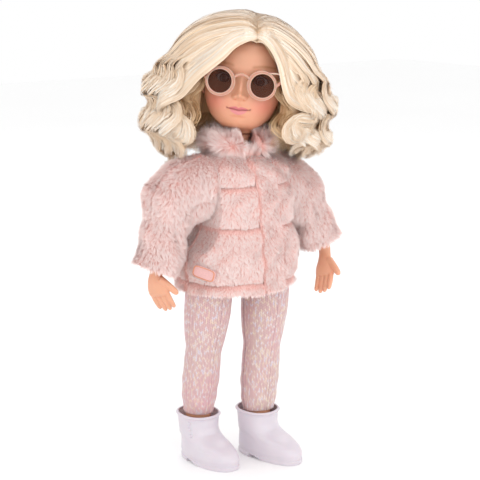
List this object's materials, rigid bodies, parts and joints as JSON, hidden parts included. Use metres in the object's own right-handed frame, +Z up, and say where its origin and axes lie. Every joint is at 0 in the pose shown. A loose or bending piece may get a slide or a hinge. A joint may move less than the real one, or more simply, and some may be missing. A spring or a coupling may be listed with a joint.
{
  "type": "fashion doll",
  "caption": "Standing vinyl fashion doll with long wavy blonde hair, round sunglasses, a pink faux fur coat, knit leggings and ankle boots; head, arms and legs turn.",
  "frame": {"origin": "on the floor, under the middle of the doll's box", "axes": "+Z up; the torso faces -Y and its left side is +X; the head rests turned to the doll's right"},
  "size_m": [0.187, 0.1224, 0.3535],
  "materials": {
    "skin_vinyl": "satin, translucent vinyl",
    "shell_plastic": "satin hard plastic",
    "hair": "glossy fibre",
    "eye_white": "polished",
    "iris": "polished",
    "fur": "short pile",
    "lining": "woven",
    "tape": "woven",
    "knit": "fine shiny knit",
    "boot_vinyl": "satin",
    "frame_plastic": "translucent, polished",
    "lens_plastic": "tinted, polished"
  },
  "bodies": {
    "torso": {"torso_front": "shell_plastic", "torso_back": "shell_plastic", "neck": "shell_plastic", "leggings_seat": "knit", "coat_back": "fur", "coat_front_left": "fur", "coat_front_right": "fur", "coat_skirt_left": "fur", "coat_skirt_right": "fur", "coat_placket": "fur", "coat_hook_tape": "tape", "coat_loop_tape": "tape", "coat_collar_left": "fur", "coat_collar_right": "fur", "coat_patch": "lining"},
    "head": {"head_shell": "skin_vinyl", "eye_left": "eye_white", "eye_right": "eye_white", "iris_left": "iris", "iris_right": "iris", "hair_crown": "hair", "hair_side_left": "hair", "hair_side_right": "hair", "hair_back_left": "hair", "hair_back_right": "hair"},
    "sunglasses": {"sunglasses_frame": "frame_plastic", "lens_left": "lens_plastic", "lens_right": "lens_plastic"},
    "arm_left": {"arm_left": "skin_vinyl", "coat_sleeve_left": "fur"},
    "arm_right": {"arm_right": "skin_vinyl", "coat_sleeve_right": "fur"},
    "leg_left": {"leg_left": "skin_vinyl", "leggings_leg_left": "knit", "boot_left": "boot_vinyl"},
    "leg_right": {"leg_right": "skin_vinyl", "leggings_leg_right": "knit", "boot_right": "boot_vinyl"}
  },
  "joints": [
    {"name": "neck_turn", "type": "hinge", "parent": "torso", "child": "head", "pos_m": [0, -0.00564, 0.262], "axis": [0, -0.1736, 0.9848], "range_deg": [-53, 127]},
    {"name": "sunglasses_off", "type": "slide", "parent": "head", "child": "sunglasses", "axis": [-0.5927, -0.8047, 0.0344], "range_m": [0, 0.06]},
    {"name": "shoulder_left_swing", "type": "hinge", "parent": "torso", "child": "arm_left", "pos_m": [0, -0.00564, 0.222], "axis": [-1, 0, 0], "range_deg": [-50, 50]},
    {"name": "shoulder_right_swing", "type": "hinge", "parent": "torso", "child": "arm_right", "pos_m": [0, -0.00564, 0.222], "axis": [-1, 0, 0], "range_deg": [-35, 65]},
    {"name": "hip_left_swing", "type": "hinge", "parent": "torso", "child": "leg_left", "pos_m": [0, -0.00564, 0.165], "axis": [-1, 0, 0], "range_deg": [-16, 80], "deforming": ["coat_skirt_left"]},
    {"name": "hip_right_swing", "type": "hinge", "parent": "torso", "child": "leg_right", "pos_m": [0, -0.00564, 0.165], "axis": [-1, 0, 0], "range_deg": [-7, 88], "deforming": ["coat_skirt_right", "coat_patch"]}
  ]
}
